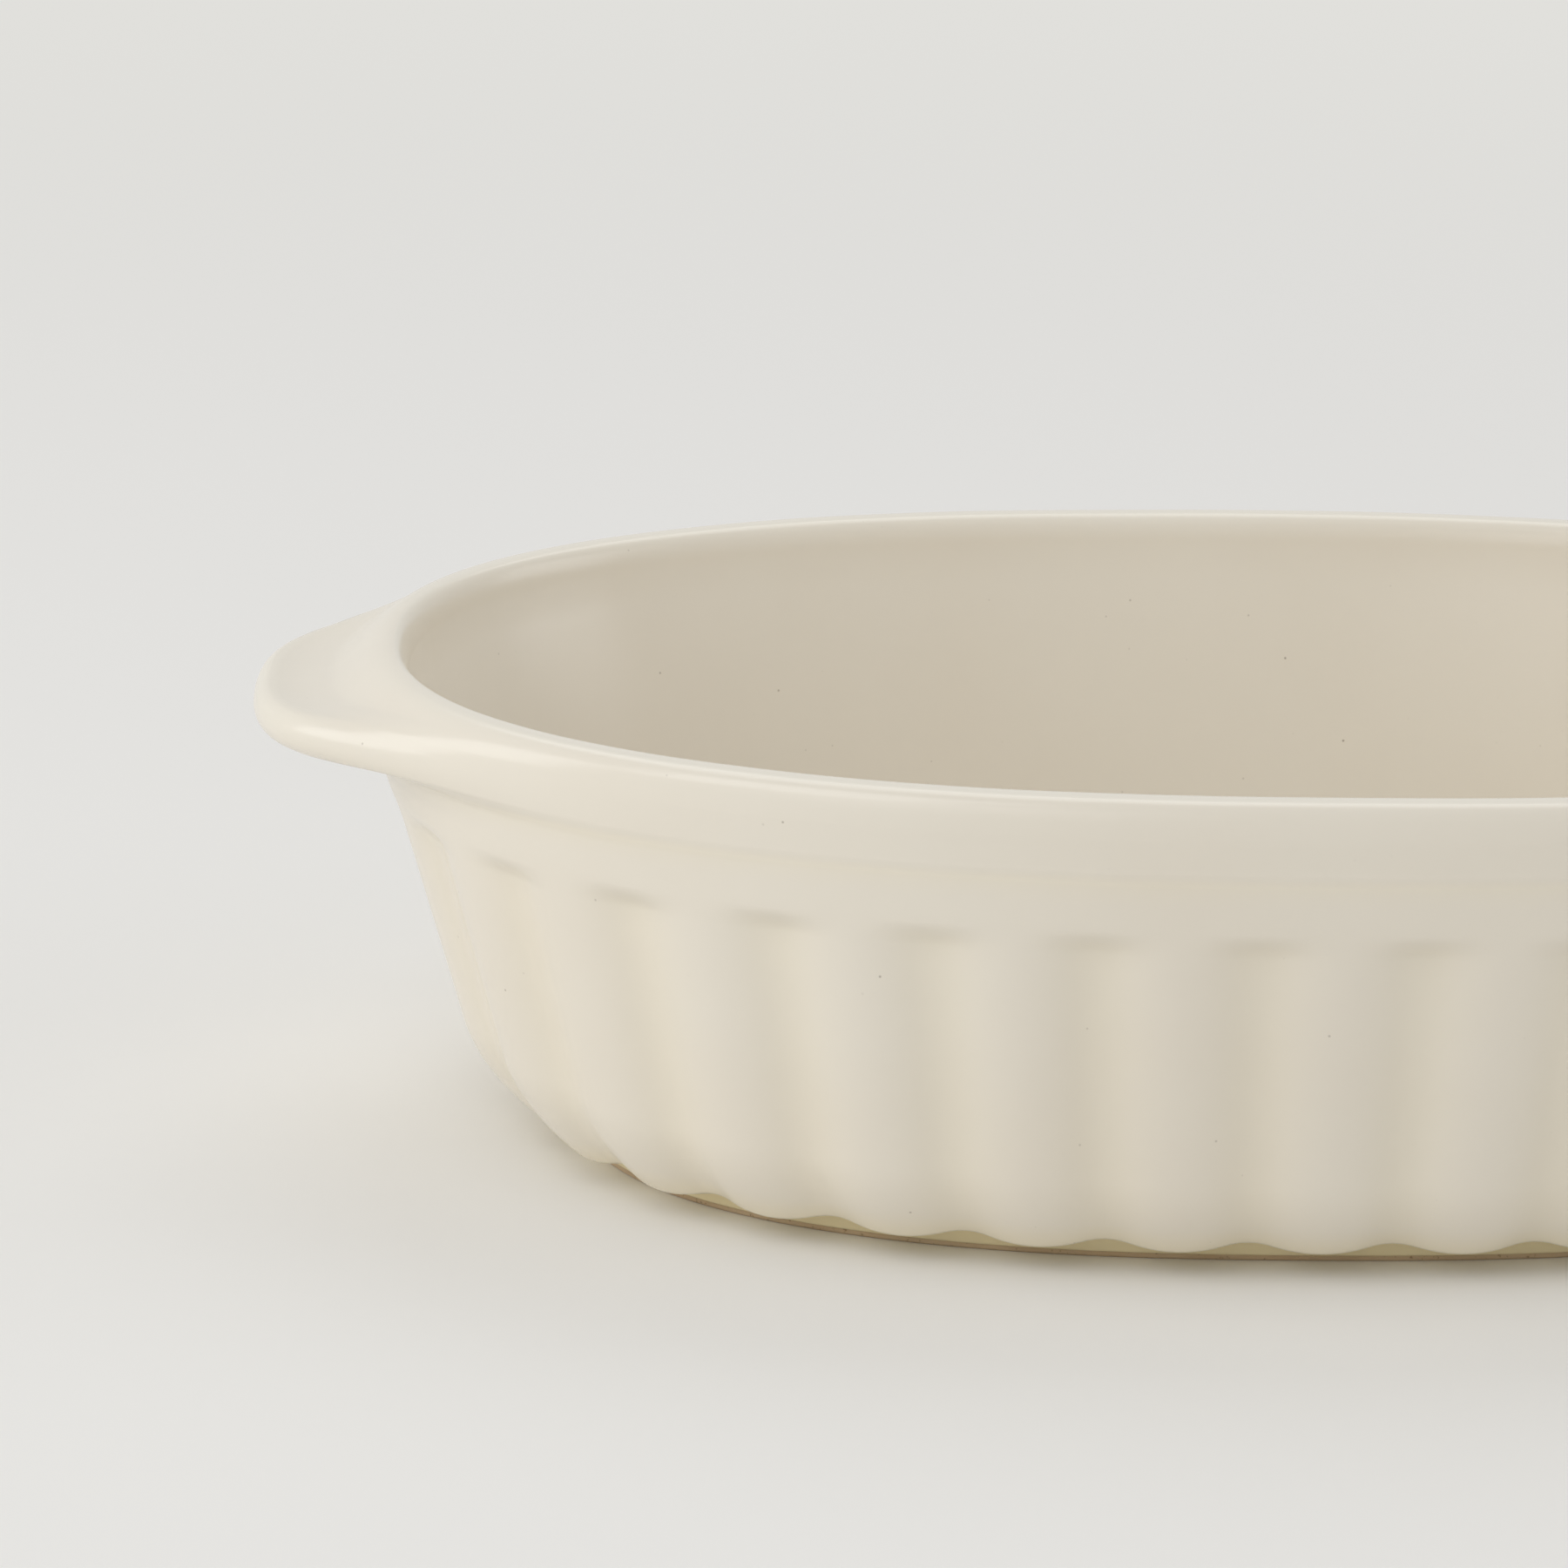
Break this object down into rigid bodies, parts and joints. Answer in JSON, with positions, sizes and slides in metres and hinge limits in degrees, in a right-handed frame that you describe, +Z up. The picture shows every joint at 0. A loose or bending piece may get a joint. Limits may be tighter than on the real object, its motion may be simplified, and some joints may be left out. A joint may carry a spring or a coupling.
{
  "type": "oval gratin dish",
  "caption": "Deep oval baking and serving dish in glazed stoneware, with a fluted outer wall, a rounded rim on a collar and a flat lug at each end.",
  "frame": {"origin": "centre of the oval, at the foot's resting plane", "axes": "+X along the length, from lug to lug; +Y across the width; +Z up"},
  "size_m": [0.2176, 0.1318, 0.052],
  "materials": {
    "cream_glaze": "gloss"
  },
  "bodies": {
    "root": {"gratin_dish": "cream_glaze"}
  },
  "joints": []
}
